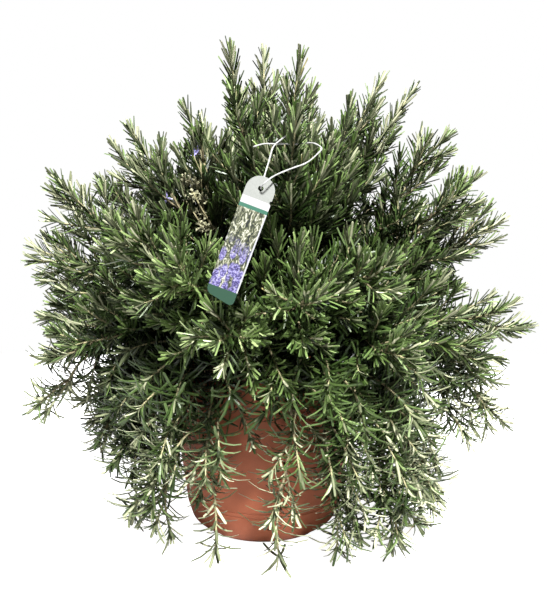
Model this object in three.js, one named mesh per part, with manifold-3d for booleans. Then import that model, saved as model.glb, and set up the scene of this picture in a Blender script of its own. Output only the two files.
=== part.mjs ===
// A rosemary bush in a terracotta-coloured plastic pot, with a hanging plant tag. Millimetres, +Z up.
// The origin is the centre of the pot's underside, where it stands, and the tag hangs on the -Y side.
// The bush is one woody framework, with a node for each leafy branch that grows from it.
import * as THREE from 'three';
import { mergeVertices } from 'three/addons/utils/BufferGeometryUtils.js';
import Module from 'manifold-3d';

const wasm = await Module();
wasm.setup();

// ---- Driving dimensions ----
const POT = {
  rimRadius: 120, // outside of the rim band
  height: 195,
  rimBand: 24, // height of the band
  rimStep: 4, // how far the band stands out of the wall
  wall: 2.6,
  bodyRadius: 97, // at the top of the rounded foot
  footHeight: 24,
  baseRadius: 84, // where the pot stands
  floorLift: 6, // hollow under the floor
  bossRadius: 14, // the boss under the middle of the floor, which stands with the foot
  floorThickness: 3.4,
  segments: 32,
  notches: 4,
  notchWidth: 26,
  notchHeight: 4.5,
  drainHoles: 5,
  drainRadius: 7,
  drainCircle: 48,
};
const CLEAR = 0.3; // gap where two pieces touch
const SOIL = { below: 20, mound: 6, segments: 20 };
const TRUNK = { radius: 10, sides: 8, hole: 26, flare: 1.25, knot: 19 };
const CROWN_Z = 206; // where the main limbs part

const LEAF = {
  length: 25,
  width: 3.3,
  thickness: 0.62, // as a share of what an even three-sided blade would have
  widest: 0.42, // how far along it
  sides: 3,
  baseAngle: 58, // from the stem, low down and near the tip
  topAngle: 36,
  tuft: 0.9, // how far the tuft reaches past the stem, in leaf lengths
  tuftAngle: 22,
  onStem: 3,
  tuftOnStem: 3,
  onShoot: 0,
  tuftOnShoot: 2,
  tuftStep: 0.012, // between the roots of a tuft, as a share of the stem
  turns: [0, 22, -22, 44, -44, 70, -70, 100, -100, 140, 180],
};
const STEM = { limbRadius: 5, forkRadius: 3.8, baseRadius: 2.5, tipRadius: 1.6, sides: 3 };
const SIDE = {
  places: [0.22, 0.5], // along the leafy part
  lengths: [80, 62],
  baseRadius: 1.8,
  tipRadius: 1.3,
  angle: 44,
  tries: 16,
  air: 2.5, // least room round a side shoot
};
const AIR = 0.35; // least gap between two nodes' leaves

// A plastic hang-tag with a round top, held by a string that is tied round a stem.
const TAG = {
  top: [5, -232, 400], // the middle of each end
  bottom: [-33, -250, 299],
  width: 25,
  thickness: 0.8,
  holeRadius: 2.4,
  holeDown: 10.5,
  slant: 5, // how much longer the right side is than the left
};
const STRING = {
  diameter: 1.5,
  sides: 8,
  steps: 50,
  route: [
    [-6, -196, 430], [3, -193, 433], [13, -189.5, 433.5], [21.5, -180, 435], [27.4, -173.5, 435.8],
    [33.4, -172.4, 435.8], [41, -175, 436.5], [49, -183, 435], [55, -195, 429], [51, -205, 423], [41, -215, 414], [26, -227.5, 407], [12, -237.5, 400],
    [4.4, -240.5, 394], [1.9, -237.2, 391.7], [1.5, -230.2, 390.6], [2, -226, 392.5], [4, -221, 401],
    [8, -208, 416],
    [12.4, -192.6, 431.4], [18, -188, 437], [23, -186, 441],
  ],
};
// Flowers: the branch that carries each, how far up its leafy part, and their sizes.
const BLOSSOMS = [{ branch: 2, at: 0.76 }, { branch: 0, at: 0.5 }];
const BLOSSOM = { stalk: 6, stalkRadius: 0.9, petals: 4, petalLength: 9, petalWidth: 5, flare: 52, lean: 50 };
const SPENT = { branch: 2, step: 1, from: 0.1, to: 0.62, coreRadius: 1, heads: 6, length: 8, width: 3.4, lean: 40 };
const FLOOR_TIP = 18; // a branch whose tip is lower than this rests on the floor
const GOLDEN = Math.PI * (3 - Math.sqrt(5)); // the turn between one leaf and the next

// Tips of the branches, in mm. Those of the front and sides are where the photograph shows them.
const UPRIGHT_TIPS = [
  [-163, -10, 485], [-204, 70, 475], [-91, -40, 502], [-87, 80, 512], [-31, -140, 534],
  [0, 40, 582], [42, -90, 545], [98, -60, 484], [144, 0, 541], [191, 40, 538],
  [-50, 150, 530], [70, 140, 550], [34, -198, 466],
];
const ARCHING_TIPS = [
  [-267, 0, 431], [-232, 95, 438], [-295, -10, 345], [-297, 10, 250], [-262, -100, 215],
  [234, 10, 486], [256, -40, 427], [304, 5, 378], [268, 95, 297], [338, -20, 238], [284, -75, 208],
  [-150, -180, 370], [-81, -235, 334], [-40, -250, 262], [50, -250, 300],
  [130, -205, 330], [150, -210, 235],
  [-170, 200, 370], [-90, 270, 300], [0, 250, 420], [110, 255, 320], [200, 190, 370],
];
const TRAILING_TIPS = [
  [-266, -60, 118], [-220, 20, 65], [-152, -78, 12], [-102, -125, 14], [-52, -148, 10],
  [20, -166, 10], [74, -150, 10], [140, -135, 10], [181, -80, 12], [251, -40, 92], [298, 0, 90],
  [200, 110, 20], [80, 200, 16], [-60, 210, 25], [-190, 130, 20],
];

// Each kind of branch: its limbs, their rise, length and first azimuth; how strongly its curve keeps to its
// direction at each end, as a share of its reach; the woody share of it, its leafy stem's straight steps and
// the number of its side shoots.
const KINDS = {
  upright: {
    tips: UPRIGHT_TIPS, limbs: 4, rise: 62, limb: 70, first: 30,
    leave: 0.34, arrive: 0.34, wood: 0.3, steps: 3, shoots: 2,
  },
  arching: {
    tips: ARCHING_TIPS, limbs: 8, rise: 32, limb: 78, first: 10,
    leave: 0.36, arrive: 0.36, wood: 0.26, steps: 4, shoots: 2,
  },
  trailing: {
    tips: TRAILING_TIPS, limbs: 6, rise: 24, limb: 64, first: 0,
    leave: 0.4, arrive: 0.4, wood: 0.28, steps: 5, shoots: 1,
  },
};

// ---- Solids ----
const vec = (x, y, z) => new THREE.Vector3(x, y, z);
const rad = THREE.MathUtils.degToRad;

function solidOf(geometry) {
  const bare = geometry.clone();
  bare.deleteAttribute('normal');
  bare.deleteAttribute('uv');
  const merged = mergeVertices(bare, 1e-4);
  return new wasm.Manifold(new wasm.Mesh({
    numProp: 3,
    vertProperties: new Float32Array(merged.attributes.position.array),
    triVerts: new Uint32Array(merged.index.array),
  }));
}

function geometryOf(solid) {
  const mesh = solid.getMesh();
  const geometry = new THREE.BufferGeometry();
  geometry.setAttribute('position', new THREE.BufferAttribute(mesh.vertProperties, 3));
  geometry.setIndex(new THREE.BufferAttribute(mesh.triVerts, 1));
  return geometry;
}

const joined = (solids) => solids.reduce((whole, part) => whole.add(part));

// A lathe turned so that its axis is Z. The profile is [radius, height] pairs, going up the outside.
function turned(profile, segments) {
  const points = profile.map(([radius, height]) => new THREE.Vector2(radius, height));
  return new THREE.LatheGeometry(points, segments).rotateX(Math.PI / 2);
}

// A path is a curve, the share of it that is used, the number of straight steps and a direction square to it.
// A rod is tapered, and bent along a path.
function rod(path, startRadius, endRadius, sides) {
  const straight = new THREE.CylinderGeometry(endRadius, startRadius, 1, sides, path.steps);
  const place = straight.attributes.position;
  for (let i = 0; i < place.count; i++) {
    const t = path.from + (path.to - path.from) * (place.getY(i) + 0.5);
    const middle = path.curve.getPoint(t);
    const [across, over] = squareTo(path.curve.getTangent(t), path.side);
    middle.addScaledVector(across, place.getX(i)).addScaledVector(over, place.getZ(i));
    place.setXYZ(i, middle.x, middle.y, middle.z);
  }
  return solidOf(straight);
}

// Two directions square to an axis, the first of them near a given one.
function squareTo(axis, near) {
  const across = near.clone().addScaledVector(axis, -near.dot(axis)).normalize();
  return [across, across.clone().cross(axis)];
}

// The middle of a path's rod, which is straight between its steps.
function onRod(path, t) {
  const place = (t - path.from) / (path.to - path.from) * path.steps;
  const step = Math.min(Math.floor(place), path.steps - 1);
  const [a, b] = [step, step + 1].map((k) =>
    path.curve.getPoint(path.from + (path.to - path.from) * k / path.steps));
  return a.lerp(b, place - step);
}

// A three-sided leaf, pointed at both ends, whose root lies inside its stem. It is wide along across.
function leafSolid({ root, direction, across, length = LEAF.length, width = LEAF.width }) {
  const radius = width / Math.sqrt(3);
  const blade = turned([[0, 0], [radius, length * LEAF.widest], [0, length]], LEAF.sides);
  blade.scale(1, LEAF.thickness, 1);
  const [wide, over] = squareTo(direction, across);
  blade.applyMatrix4(new THREE.Matrix4().makeBasis(wide, over.negate(), direction).setPosition(root));
  return solidOf(blade);
}

// ---- Pot and soil ----
function wallRadius(z) { // outside of the pot's wall, below the rim band
  const low = POT.bodyRadius;
  const high = POT.rimRadius - POT.rimStep;
  return low + (high - low) * (z - POT.footHeight) / (POT.height - POT.rimBand - POT.footHeight);
}

function potProfile() {
  const { rimRadius, height, rimBand, wall, bodyRadius, footHeight, baseRadius, floorLift, bossRadius } = POT;
  const floorTop = floorLift + POT.floorThickness;
  const bandFoot = height - rimBand;
  const bend = bodyRadius - baseRadius;
  return [
    [0, 0], [bossRadius, 0], [bossRadius + 1.5, floorLift], [baseRadius - 6, floorLift], [baseRadius - 4.5, 0], [baseRadius, 0],
    [baseRadius + bend * 0.6, footHeight * 0.3], [bodyRadius, footHeight],
    [wallRadius(bandFoot), bandFoot], [rimRadius - 1, bandFoot + 1.5],
    [rimRadius, height - 2], [rimRadius - 1.5, height], [rimRadius - 5, height],
    [wallRadius(bandFoot) - wall, bandFoot - 4],
    [bodyRadius - wall, footHeight], [baseRadius - 7, floorTop], [0, floorTop],
  ];
}

function potSolid() {
  let pot = solidOf(turned(potProfile(), POT.segments));
  for (let i = 0; i < POT.notches; i++) {
    const notch = new THREE.BoxGeometry(40, POT.notchWidth, 2 * POT.notchHeight);
    notch.translate(POT.baseRadius, 0, 0).rotateZ(rad(45 + i * 360 / POT.notches + 1.7));
    pot = pot.subtract(solidOf(notch));
  }
  for (let i = 0; i < POT.drainHoles; i++) {
    const hole = new THREE.CylinderGeometry(POT.drainRadius, POT.drainRadius, 30, 12).rotateX(Math.PI / 2);
    hole.translate(POT.drainCircle, 0, POT.floorLift).rotateZ(rad(i * 360 / POT.drainHoles + 3));
    pot = pot.subtract(solidOf(hole));
  }
  return pot;
}

function soilSolid() {
  const top = POT.height - SOIL.below;
  const floorTop = POT.floorLift + POT.floorThickness + CLEAR;
  const innerFoot = POT.bodyRadius - POT.wall - CLEAR;
  const shrink = 1.4; // the pot's flat facets cut inside its round
  const soil = solidOf(turned([
    [0, floorTop], [POT.baseRadius - 10, floorTop], [POT.baseRadius - 5, floorTop + 4.5],
    [innerFoot - shrink, POT.footHeight + 1],
    [wallRadius(top) - POT.wall - CLEAR - shrink - 1, top - 3], [96, top + 1], [60, top + SOIL.mound * 0.6],
    [25, top + SOIL.mound], [0, top + SOIL.mound],
  ], SOIL.segments));
  const holeRadius = TRUNK.radius * TRUNK.flare + 2 * CLEAR;
  const hole = new THREE.CylinderGeometry(holeRadius, holeRadius, 60, 14).rotateX(Math.PI / 2);
  return soil.subtract(solidOf(hole.translate(0, 0, top - TRUNK.hole + 30)));
}

// ---- How the bush grows ----
function polar(azimuth, riseDegrees) {
  const rise = rad(riseDegrees);
  return vec(Math.cos(rise) * Math.cos(azimuth), Math.cos(rise) * Math.sin(azimuth), Math.sin(rise));
}

function turnBetween(a, b) {
  const turn = Math.abs(a - b) % (2 * Math.PI);
  return Math.min(turn, 2 * Math.PI - turn);
}

// The main limbs of one kind, each from the crown to its fork.
function limbsOf(kind) {
  const { limbs, rise, limb, first } = KINDS[kind];
  return Array.from({ length: limbs }, (_, i) => {
    const azimuth = rad(first + i * 360 / limbs);
    const out = polar(azimuth, rise);
    const crown = vec(0, 0, CROWN_Z - 8).add(polar(azimuth, 0).multiplyScalar(TRUNK.radius * 0.3));
    const fork = vec(0, 0, CROWN_Z).addScaledVector(out, limb);
    const bend = crown.clone().lerp(fork, 0.5).add(vec(0, 0, 6));
    const curve = new THREE.QuadraticBezierCurve3(crown, bend, fork);
    return { azimuth, out, fork, curve, from: 0, to: 1, steps: 2, side: polar(azimuth + Math.PI / 2, 0) };
  });
}

// The direction in which a branch's tip points: upwards, outwards or down.
function tipDirection(kind, tip, azimuth) {
  if (kind === 'upright') return polar(azimuth, 82 - 0.14 * Math.hypot(tip.x, tip.y));
  if (kind === 'arching') return polar(azimuth, THREE.MathUtils.clamp((tip.z - 250) * 0.24, -22, 48));
  return polar(azimuth, tip.z < FLOOR_TIP ? -86 : -66);
}

// One branch: its curve from the fork to the end of the stem, and where its leafy part starts.
function branchOf(kind, tipPoint, limbs) {
  const { leave, arrive, wood, steps } = KINDS[kind];
  const tip = vec(...tipPoint);
  const azimuth = Math.atan2(tip.y, tip.x);
  const limb = limbs.reduce((best, other) =>
    (turnBetween(other.azimuth, azimuth) < turnBetween(best.azimuth, azimuth) ? other : best));
  const out = tipDirection(kind, tip, azimuth);
  const end = tip.clone().addScaledVector(out, -LEAF.length * LEAF.tuft);
  const reach = end.distanceTo(limb.fork);
  const start = kind === 'trailing'
    ? polar(azimuth, 21)
    : limb.out.clone().multiplyScalar(0.6).add(end.clone().sub(limb.fork).normalize()).normalize();
  const curve = new THREE.CubicBezierCurve3(
    limb.fork.clone(), limb.fork.clone().addScaledVector(start, leave * reach),
    end.clone().addScaledVector(out, -arrive * reach), end);
  const leafy = wood + CLEAR / curve.getPoint(wood).distanceTo(curve.getPoint(wood + 0.01)) * 0.01;
  const side = polar(azimuth + Math.PI / 2, 0);
  return {
    kind,
    woody: { curve, from: 0, to: wood, steps: 1, side },
    leafy: { curve, from: leafy, to: 1, steps, side },
  };
}

// ---- Room between nodes ----
// Each stem and leaf is watched as a capsule, a thick segment that belongs to a node.
const taken = [];

function capsule(node, a, b, radius) {
  return { node, a, b, radius, middle: a.clone().lerp(b, 0.5), half: a.distanceTo(b) / 2 };
}

// The shortest distance between two segments.
function segmentGap(one, two) {
  const d1 = one.b.clone().sub(one.a);
  const d2 = two.b.clone().sub(two.a);
  const r = one.a.clone().sub(two.a);
  const [a, b, c, e, f] = [d1.dot(d1), d1.dot(d2), d1.dot(r), d2.dot(d2), d2.dot(r)];
  const spread = a * e - b * b;
  const clamp = (x) => Math.min(1, Math.max(0, x));
  let s = spread > 1e-9 ? clamp((b * f - c * e) / spread) : 0;
  let t = (b * s + f) / e;
  if (t < 0 || t > 1) {
    t = clamp(t);
    s = clamp((b * t - c) / a);
  }
  return r.addScaledVector(d1, s).addScaledVector(d2, -t).length();
}

function gapBetween(one, two) {
  const far = one.middle.distanceTo(two.middle) - one.half - two.half - one.radius - two.radius;
  return far > 4 ? far : segmentGap(one, two) - one.radius - two.radius;
}

const roomAround = (shape) => taken.reduce((least, other) =>
  (other.node === shape.node ? least : Math.min(least, gapBetween(shape, other))), Infinity);

// Above the floor, and outside the pot or above its rim.
function clearOfPot(point, radius) {
  if (point.z - radius < CLEAR) return false;
  const bandFoot = POT.height - POT.rimBand;
  const high = Math.max(point.z + 3, POT.footHeight);
  const wall = high > bandFoot ? POT.rimRadius : wallRadius(high);
  return point.z - radius > POT.height + 1 || Math.hypot(point.x, point.y) - radius > wall + 1;
}

function fits(shape, least) {
  const ends = [shape.a, shape.middle, shape.b];
  return ends.every((point) => clearOfPot(point, shape.radius)) && roomAround(shape) >= least;
}

// The capsules of a path's rod, one for each step.
function capsulesAlong(node, path, startRadius, endRadius) {
  return Array.from({ length: path.steps }, (_, i) => {
    const [a, b] = [i, i + 1].map((k) =>
      path.curve.getPoint(path.from + (path.to - path.from) * k / path.steps));
    return capsule(node, a, b, startRadius + (endRadius - startRadius) * i / path.steps);
  });
}

// ---- Shoots and leaves ----
// A direction at an angle to a stem, rolled round it.
function offStem(path, t, angle, roll) {
  const tangent = path.curve.getTangent(t);
  const [across, over] = squareTo(tangent, path.side);
  const outward = across.multiplyScalar(Math.cos(roll)).addScaledVector(over, Math.sin(roll));
  const direction = tangent.clone().multiplyScalar(Math.cos(rad(angle)))
    .addScaledVector(outward, Math.sin(rad(angle)));
  return { direction, across: tangent.cross(direction).normalize() };
}

// A straight side shoot, which leaves its stem at an angle.
function shootOf(stem, t, roll, length) {
  const root = onRod(stem, t);
  const { direction, across } = offStem(stem, t, SIDE.angle, roll);
  const end = root.clone().addScaledVector(direction, length);
  return { curve: new THREE.LineCurve3(root, end), from: 0, to: 1, steps: 1, side: across };
}

// The branch's side shoots, each rolled to where it has the most room.
function shootsOf(branch, node, index) {
  const shoots = [];
  SIDE.places.slice(0, KINDS[branch.kind].shoots).forEach((place, k) => {
    const t = branch.leafy.from + (1 - branch.leafy.from) * place;
    const length = SIDE.lengths[k] * (branch.kind === 'trailing' ? 0.85 : 1);
    const first = GOLDEN * (index + k * 1.31);
    let best = null;
    for (let turn = 0; turn < SIDE.tries; turn++) {
      const shoot = shootOf(branch.leafy, t, first + turn * 2 * Math.PI / SIDE.tries, length);
      const shapes = capsulesAlong(node, shoot, SIDE.baseRadius, SIDE.tipRadius);
      const room = Math.min(...shapes.map(roomAround));
      if (shapes.every((shape) => fits(shape, SIDE.air)) && (!best || room > best.room)) {
        best = { shoot, shapes, room };
      }
    }
    if (best) {
      taken.push(...best.shapes);
      shoots.push(best.shoot);
    }
  });
  return shoots;
}

// Leaves along a stem and a tuft at its tip. A leaf that would touch another node is rolled away or left off.
function leavesOn(path, node, from, count, tuft, firstRoll) {
  const leaves = [];
  for (let i = 0; i < count + tuft; i++) {
    const inTuft = i >= count;
    const t = inTuft ? 0.995 - (i - count) * LEAF.tuftStep : from + (0.92 - from) * (i + 0.5) / count;
    const angle = inTuft ? LEAF.tuftAngle : LEAF.baseAngle + (LEAF.topAngle - LEAF.baseAngle) * i / count;
    const roll = inTuft ? firstRoll + (i - count) * 2 * Math.PI / tuft : firstRoll + i * GOLDEN;
    const leaf = placedLeaf(path, node, t, angle, roll);
    if (leaf) leaves.push(leaf);
  }
  return leaves;
}

function placedLeaf(path, node, t, angle, roll) {
  const root = onRod(path, t);
  for (const turn of LEAF.turns) {
    const { direction, across } = offStem(path, t, angle, roll + rad(turn));
    const tip = root.clone().addScaledVector(direction, LEAF.length);
    const shape = capsule(node, root, tip, LEAF.width * 0.5);
    const clear = clearOfPot(tip, 1) && clearOfPot(shape.middle, 1) && roomAround(shape) >= AIR;
    if (clear) {
      taken.push(shape);
      return { root, direction, across };
    }
  }
  return null;
}

const limbs = Object.fromEntries(Object.keys(KINDS).map((kind) => [kind, limbsOf(kind)]));
const branches = Object.keys(KINDS).flatMap((kind) =>
  KINDS[kind].tips.map((tip) => branchOf(kind, tip, limbs[kind])));
const nameOf = (branch, index) => `leafy_stem_${branch.kind}_${String(index + 1).padStart(2, '0')}`;

// ---- Wood ----
function woodSolid() {
  const crown = CROWN_Z + 4;
  const foot = POT.height - SOIL.below - TRUNK.hole + 2 * CLEAR;
  const trunk = solidOf(turned([
    [0, foot], [TRUNK.radius * TRUNK.flare, foot], [TRUNK.radius, foot + 30],
    [TRUNK.knot, crown - 14], [TRUNK.knot, crown - 2], [TRUNK.knot * 0.5, crown + 6], [0, crown + 6],
  ], TRUNK.sides));
  const limbRods = Object.values(limbs).flat().map((limb) =>
    rod(limb, STEM.limbRadius, STEM.forkRadius, 4));
  const forks = Object.values(limbs).flat().map(({ fork }) =>
    solidOf(new THREE.OctahedronGeometry(STEM.forkRadius * 1.9).rotateX(0.4).translate(...fork)));
  const branchRods = branches.map(({ woody }) =>
    rod(woody, STEM.forkRadius * 0.75, STEM.baseRadius, STEM.sides));
  return joined([trunk, ...limbRods, ...forks, ...branchRods]);
}

function takeWood() {
  Object.values(limbs).flat().forEach((limb) =>
    taken.push(...capsulesAlong('wood', limb, STEM.limbRadius, STEM.forkRadius)));
  branches.forEach(({ woody }) =>
    taken.push(...capsulesAlong('wood', woody, STEM.forkRadius * 0.75, STEM.baseRadius)));
}

// ---- Leafy stems ----
function leafySolid(branch, shoots, node, index) {
  const roll = GOLDEN * index;
  const leaves = [
    ...leavesOn(branch.leafy, node, branch.leafy.from, LEAF.onStem, LEAF.tuftOnStem, roll),
    ...shoots.flatMap((shoot, k) =>
      leavesOn(shoot, node, 0.25, LEAF.onShoot, LEAF.tuftOnShoot, roll + k + 1))];
  const stem = rod(branch.leafy, STEM.baseRadius, STEM.tipRadius, STEM.sides);
  const sides = shoots.map((shoot) => rod(shoot, SIDE.baseRadius, SIDE.tipRadius, STEM.sides));
  return joined([stem, ...sides, ...leaves.map(leafSolid)]);
}

// ---- Tag and string ----
function tagSolid() {
  const top = vec(...TAG.top);
  const up = top.clone().sub(vec(...TAG.bottom));
  const length = up.length();
  up.normalize();
  const round = TAG.width / 2;
  const outline = new THREE.Shape();
  outline.moveTo(-round, -length + TAG.slant / 2);
  outline.lineTo(round, -length - TAG.slant / 2);
  outline.lineTo(round, -round);
  outline.absarc(0, -round, round, 0, Math.PI, false);
  const hole = new THREE.Path();
  hole.absarc(0, -TAG.holeDown, TAG.holeRadius, 0, 2 * Math.PI, true);
  outline.holes.push(hole);
  const plate = new THREE.ExtrudeGeometry(outline, {
    depth: TAG.thickness, bevelEnabled: false, curveSegments: 6,
  });
  const [across, over] = squareTo(up, vec(up.z, 0, -up.x));
  plate.translate(0, 0, -TAG.thickness / 2);
  plate.applyMatrix4(new THREE.Matrix4().makeBasis(across, up, over).setPosition(top));
  return solidOf(plate);
}

function stringPath() {
  const curve = new THREE.CatmullRomCurve3(STRING.route.map((point) => vec(...point)), false, 'centripetal');
  return { curve, from: 0, to: 1, steps: STRING.steps };
}

function stringSolid() {
  const section = new THREE.Shape();
  section.absarc(0, 0, STRING.diameter / 2, 0, 2 * Math.PI, false);
  return solidOf(new THREE.ExtrudeGeometry(section, {
    extrudePath: stringPath().curve, steps: STRING.steps, curveSegments: STRING.sides / 2,
  }));
}

// ---- Flowers ----
// A place just clear of the edge of a stem's rod, on the side that faces away from the pot's axis.
function beside(stem, t, offset) {
  const tangent = stem.curve.getTangent(t);
  const outward = squareTo(tangent, stem.side)[1];
  const share = (t - stem.from) / (stem.to - stem.from);
  const radius = STEM.baseRadius + (STEM.tipRadius - STEM.baseRadius) * share;
  const point = onRod(stem, t).addScaledVector(outward, radius + CLEAR + offset);
  return { point, tangent, outward };
}

const leaning = (tangent, outward, lean) => tangent.clone().multiplyScalar(Math.cos(rad(lean)))
  .addScaledVector(outward, Math.sin(rad(lean)));

function blossomPath({ branch, at }) {
  const stem = branches[branch].leafy;
  const t = stem.from + (stem.to - stem.from) * at;
  const { point, tangent, outward } = beside(stem, t, BLOSSOM.stalkRadius);
  const end = point.clone().addScaledVector(leaning(tangent, outward, BLOSSOM.lean), BLOSSOM.stalk);
  return { curve: new THREE.LineCurve3(point, end), from: 0, to: 1, steps: 1, side: stem.side };
}

function blossomSolid(place) {
  const stalk = blossomPath(place);
  const petals = Array.from({ length: BLOSSOM.petals }, (_, i) => {
    const ray = offStem(stalk, 1, BLOSSOM.flare, i * 2 * Math.PI / BLOSSOM.petals + 0.3);
    const root = onRod(stalk, 0.9 - 0.04 * i);
    return leafSolid({ root, ...ray, length: BLOSSOM.petalLength, width: BLOSSOM.petalWidth });
  });
  return joined([rod(stalk, BLOSSOM.stalkRadius, BLOSSOM.stalkRadius * 1.8, 5), ...petals]);
}

// The core of the spent flower heads runs along one straight step of its stem.
function spentPath() {
  const stem = branches[SPENT.branch].leafy;
  const stepShare = (stem.to - stem.from) / stem.steps;
  const ends = [SPENT.from, SPENT.to].map((share) => stem.from + (SPENT.step + share) * stepShare);
  const [low, high] = ends.map((t) => onRod(stem, t));
  const outward = beside(stem, ends[0], 0).outward;
  const radius = STEM.baseRadius + CLEAR + SPENT.coreRadius;
  const [from, to] = [low, high].map((point) => point.addScaledVector(outward, radius));
  return { curve: new THREE.LineCurve3(from, to), from: 0, to: 1, steps: 1, side: stem.side, outward };
}

function spentSolid() {
  const core = spentPath();
  const heads = Array.from({ length: SPENT.heads }, (_, i) => {
    const roll = Math.PI / 2 + (i % 3 - 1) * 1.1;
    const ray = offStem(core, 0.5, SPENT.lean, roll);
    const root = onRod(core, 0.12 + 0.84 * i / (SPENT.heads - 1));
    return leafSolid({ root, ...ray, length: SPENT.length, width: SPENT.width });
  });
  return joined([rod(core, SPENT.coreRadius, SPENT.coreRadius, 4), ...heads]);
}

// ---- Every node ----
function takeTag() {
  const [top, bottom] = [vec(...TAG.top), vec(...TAG.bottom)];
  const wide = squareTo(top.clone().sub(bottom).normalize(), vec(1, 0, 0))[0];
  [-10, -5, 0, 5, 10].forEach((aside) => taken.push(capsule(
    'tag', top.clone().addScaledVector(wide, aside), bottom.clone().addScaledVector(wide, aside), 3)));
  const string = { ...stringPath(), steps: 40 };
  taken.push(...capsulesAlong('tag_string', string, STRING.diameter / 2, STRING.diameter / 2));
}

function takeFlowers() {
  BLOSSOMS.forEach((place, i) => {
    const stalk = blossomPath(place);
    taken.push(capsule(`blossom_${i + 1}`, onRod(stalk, 0), onRod(stalk, 0.4), 1));
    taken.push(capsule(`blossom_${i + 1}`, onRod(stalk, 0.8), onRod(stalk, 1.4), BLOSSOM.petalLength * 0.9));
  });
  const core = spentPath();
  const off = core.outward.clone().multiplyScalar(3);
  taken.push(capsule('spent_flowers', onRod(core, 0), onRod(core, 0.999), 1));
  taken.push(capsule('spent_flowers', onRod(core, 0.1).add(off), onRod(core, 0.999).add(off), 4));
}

takeWood();
branches.forEach((branch, i) => taken.push(...capsulesAlong(
  nameOf(branch, i), branch.leafy, STEM.baseRadius, STEM.tipRadius)));
takeTag();
takeFlowers();

const group = new THREE.Group();
function addNode(name, solid, color, roughness) {
  const mesh = new THREE.Mesh(geometryOf(solid), new THREE.MeshStandardMaterial({ color, roughness }));
  mesh.name = name;
  group.add(mesh);
}

addNode('pot', potSolid(), 0xa55c46, 0.6);
addNode('soil', soilSolid(), 0x3b2a20, 1);
addNode('woody_framework', woodSolid(), 0x8a6f52, 0.9);
const shootLists = branches.map((branch, i) => shootsOf(branch, nameOf(branch, i), i));
branches.forEach((branch, i) =>
  addNode(nameOf(branch, i), leafySolid(branch, shootLists[i], nameOf(branch, i), i), 0x4d6b3c, 0.6));
addNode('tag', tagSolid(), 0xd9dcd2, 0.4);
addNode('tag_string', stringSolid(), 0xf0efe8, 0.8);
BLOSSOMS.forEach((place, i) => addNode(`blossom_${i + 1}`, blossomSolid(place), 0xb9b4e0, 0.7));
addNode('spent_flowers', spentSolid(), 0xb7a98a, 0.9);

export default group;
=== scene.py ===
import math
from types import SimpleNamespace as Values

import bmesh
import bpy
import numpy as np
from mathutils import Euler, Matrix, Vector
from mathutils.noise import noise as lumps


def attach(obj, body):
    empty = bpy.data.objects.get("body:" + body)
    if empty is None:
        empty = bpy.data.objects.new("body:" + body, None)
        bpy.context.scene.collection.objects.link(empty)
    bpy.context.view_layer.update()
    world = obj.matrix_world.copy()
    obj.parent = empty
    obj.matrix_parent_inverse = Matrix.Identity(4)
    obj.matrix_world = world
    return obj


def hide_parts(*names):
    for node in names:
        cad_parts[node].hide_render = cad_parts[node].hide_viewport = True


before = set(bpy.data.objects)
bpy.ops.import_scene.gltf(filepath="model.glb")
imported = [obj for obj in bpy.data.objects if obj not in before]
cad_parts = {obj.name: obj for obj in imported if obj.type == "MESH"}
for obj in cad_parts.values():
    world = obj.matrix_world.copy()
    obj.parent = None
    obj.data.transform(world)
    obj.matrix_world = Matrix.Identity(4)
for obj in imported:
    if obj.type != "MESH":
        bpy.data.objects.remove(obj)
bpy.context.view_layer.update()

MM = 0.001
CIRCLE = 2 * math.pi
GOLDEN = math.pi * (3 - math.sqrt(5))
UP = np.array([0.0, 0.0, 1.0])

# ---- View and light ----
CAMERA = np.array([12.0, -743.0, 350.0])
CAMERA_PITCH = 6.0
KEY_LIGHT = Values(name="key", place=(450, -1750, 2450), size=360, power=412)
RIM_LIGHT = Values(name="rim", place=(-1700, 900, 2000), size=1600, power=80)
FILL = 0.08  # how strongly the white world lights things
FLOOR_RADIUS, FLOOR_GREY = 1300, 0.6

# ---- The part's sizes ----
POT = Values(
    rim=120, height=195, band=24, step=4, wall=2.6, body=97, foot=24, base=84, lift=6, floor=3.4, boss=14,
    notches=4, notch_width=26, notch_height=4.5, notch_turn=46.7, holes=5, hole=7, circle=48, hole_turn=3,
    grooves=(34.5, 40))
SOIL = Values(top=175, mound=6, edge=111, crumbs=900)
TRUNK = Values(radius=10, foot=152, knot=15)
CROWN_Z = 206
LIMB_SINK, LIMB_ARCH = 8.0, 6.0  # how far a limb starts under the crown's top, and how far it arches up
TUFT_REACH = 22.5  # how far the leaves at a branch's tip reach beyond its curve
STEM_RADIUS = 2.2
LIMB_RADII, WOOD_RADII = (5.6, 3.8), (2.9, STEM_RADIUS)
STEM_RADII, SHOOT_RADII = (STEM_RADIUS, 1.0), (1.5, 0.8)
BRANCH_LENGTH = 350  # about the length of a branch, over which its trim is spread
FLOOR_TIP = 18  # a trailing branch whose tip is lower than this hangs down steeply
UPRIGHT_TIPS = [
    (-163, -10, 485), (-204, 70, 475), (-91, -40, 502), (-87, 80, 512), (-31, -140, 534),
    (0, 40, 582), (42, -90, 545), (98, -60, 484), (144, 0, 541), (191, 40, 538),
    (-50, 150, 530), (70, 140, 550), (34, -198, 466),
]
ARCHING_TIPS = [
    (-267, 0, 431), (-232, 95, 438), (-295, -10, 345), (-297, 10, 250), (-262, -100, 215),
    (234, 10, 486), (256, -40, 427), (304, 5, 378), (268, 95, 297), (338, -20, 238), (284, -75, 208),
    (-150, -180, 370), (-81, -235, 334), (-40, -250, 262), (50, -250, 300),
    (130, -205, 330), (150, -210, 235),
    (-170, 200, 370), (-90, 270, 300), (0, 250, 420), (110, 255, 320), (200, 190, 370),
]
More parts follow.
